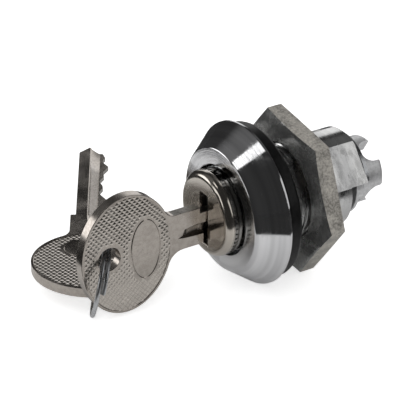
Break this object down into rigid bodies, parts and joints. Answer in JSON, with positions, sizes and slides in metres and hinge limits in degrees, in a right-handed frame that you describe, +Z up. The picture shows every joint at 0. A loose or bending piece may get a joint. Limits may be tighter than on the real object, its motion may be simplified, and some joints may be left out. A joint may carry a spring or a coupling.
{
  "type": "push lock with key",
  "caption": "Pop-out push lock with a conical collar, threaded barrel, panel nut, gasket, slotted driver, inserted key and a spare key on a ring.",
  "frame": {"origin": "on the lock's axis, where the collar's rear face meets the gasket", "axes": "+X along the lock's axis towards the rear, +Z up, the key enters from -X"},
  "size_m": [0.0629, 0.061, 0.0306],
  "materials": {
    "bright_chrome": "polished",
    "black_rubber": "matte",
    "nut_nickel": "satin",
    "warm_nickel": "polished",
    "cylinder_zinc": "satin",
    "driver_zinc": "satin",
    "spring_steel": "polished",
    "wafer_brass": "satin"
  },
  "bodies": {
    "housing": {"housing": "bright_chrome", "panel_gasket": "black_rubber", "panel_nut": "nut_nickel", "guide_pin": "spring_steel", "driver_ring": "spring_steel"},
    "cylinder": {"cylinder_shell": "cylinder_zinc", "return_spring": "spring_steel"},
    "latch": {"latch_plate": "wafer_brass"},
    "plug": {"plug": "cylinder_zinc", "face_cap": "warm_nickel", "plug_clip": "spring_steel", "wafer_1": "wafer_brass", "wafer_2": "wafer_brass", "wafer_3": "wafer_brass", "wafer_4": "wafer_brass", "wafer_5": "wafer_brass", "wafer_springs": "spring_steel"},
    "driver": {"driver": "driver_zinc", "stop_block": "driver_zinc"},
    "key": {"key": "warm_nickel"},
    "key_ring": {"key_ring": "spring_steel"},
    "spare_key": {"spare_key": "warm_nickel"}
  },
  "joints": [
    {"name": "cylinder_push", "type": "slide", "parent": "housing", "child": "cylinder", "axis": [1, 0, 0], "range_m": [0, 0.0034], "stiffness_N_per_m": 1200, "springref_m": -0.0025, "deforming": ["return_spring"]},
    {"name": "plug_turn", "type": "hinge", "parent": "cylinder", "child": "plug", "pos_m": [0, 0, 0], "axis": [1, 0, 0], "range_deg": [0, 90]},
    {"name": "latch_draw", "type": "slide", "parent": "cylinder", "child": "latch", "axis": [0, 0, -1], "range_m": [0, 0.00046]},
    {"name": "driver_turn", "type": "hinge", "parent": "housing", "child": "driver", "pos_m": [0.022, 0, 0], "axis": [1, 0, 0], "range_deg": [0, 90.5]},
    {"name": "key_pull", "type": "slide", "parent": "plug", "child": "key", "axis": [-1, 0, 0], "range_m": [0, 0.026]},
    {"name": "ring_swing", "type": "hinge", "parent": "key", "child": "key_ring", "pos_m": [-0.0293, 0, -0.0028], "axis": [0, 1, 0], "range_deg": [-6, 30]},
    {"name": "spare_swing", "type": "hinge", "parent": "key_ring", "child": "spare_key", "pos_m": [-0.02715, 0.00816, -0.01103], "axis": [-0.0397, -0.0636, 0.9972], "range_deg": [0, 30]}
  ],
  "couplings": [
    {"joint": "driver_turn", "follows": "plug_turn", "ratio": 1},
    {"joint": "latch_draw", "follows": "plug_turn", "m_per_rad": 0.0002864}
  ]
}
